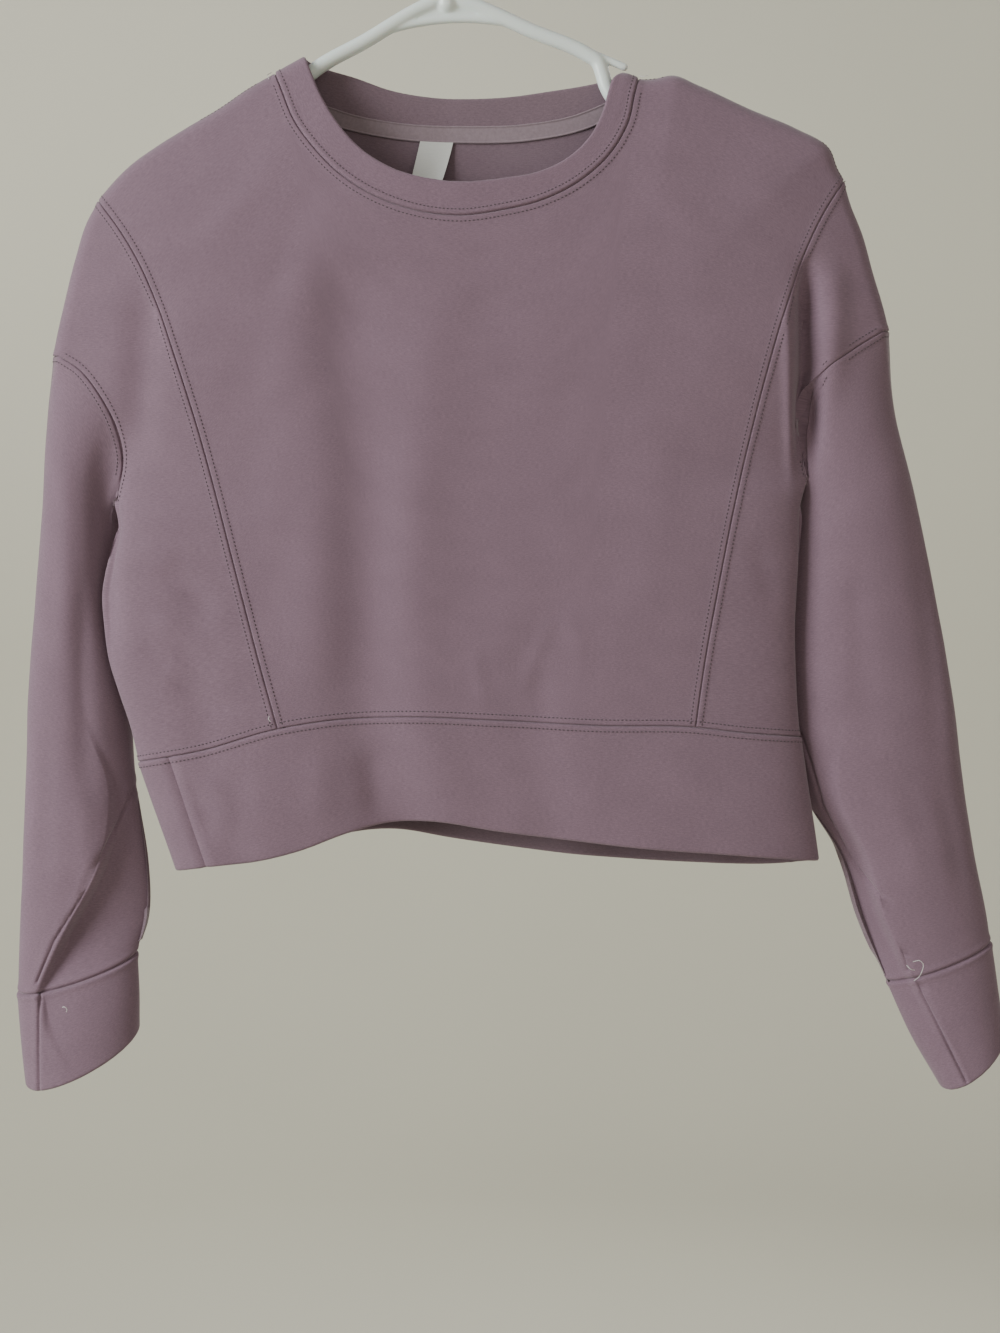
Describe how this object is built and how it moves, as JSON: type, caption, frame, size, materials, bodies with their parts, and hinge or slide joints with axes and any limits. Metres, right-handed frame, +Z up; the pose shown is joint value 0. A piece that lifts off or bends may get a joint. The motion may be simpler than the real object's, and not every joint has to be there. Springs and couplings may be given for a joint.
{
  "type": "cropped sweatshirt on a hanger",
  "caption": "Cropped crew-neck sweatshirt with dropped shoulders, curved side panels, a deep hem band and cuffs, hanging on a tubular plastic hanger.",
  "frame": {"origin": "inner top of the hanger's hook, where it hangs on its rail", "axes": "+Z up, -Y to the front of the garment, +X to the right as seen from the front"},
  "size_m": [0.5942, 0.0563, 0.7596],
  "materials": {
    "mauve_knit": "brushed cotton knit, dusty mauve, with a soft nap",
    "tape_knit": "lighter mauve neck tape with piped edges",
    "label_satin": "bare off-white woven satin",
    "white_plastic": "white moulded plastic, satin gloss"
  },
  "bodies": {
    "root": {"back_panel": "mauve_knit", "cuff_left": "mauve_knit", "cuff_right": "mauve_knit", "front_panel": "mauve_knit", "hanger": "white_plastic", "hanger_hook": "white_plastic", "hem_band_back": "mauve_knit", "hem_band_front": "mauve_knit", "neck_label": "label_satin", "neck_tape": "tape_knit", "neckband": "mauve_knit", "side_panel_left": "mauve_knit", "side_panel_right": "mauve_knit", "sleeve_left": "mauve_knit", "sleeve_right": "mauve_knit"}
  },
  "joints": []
}
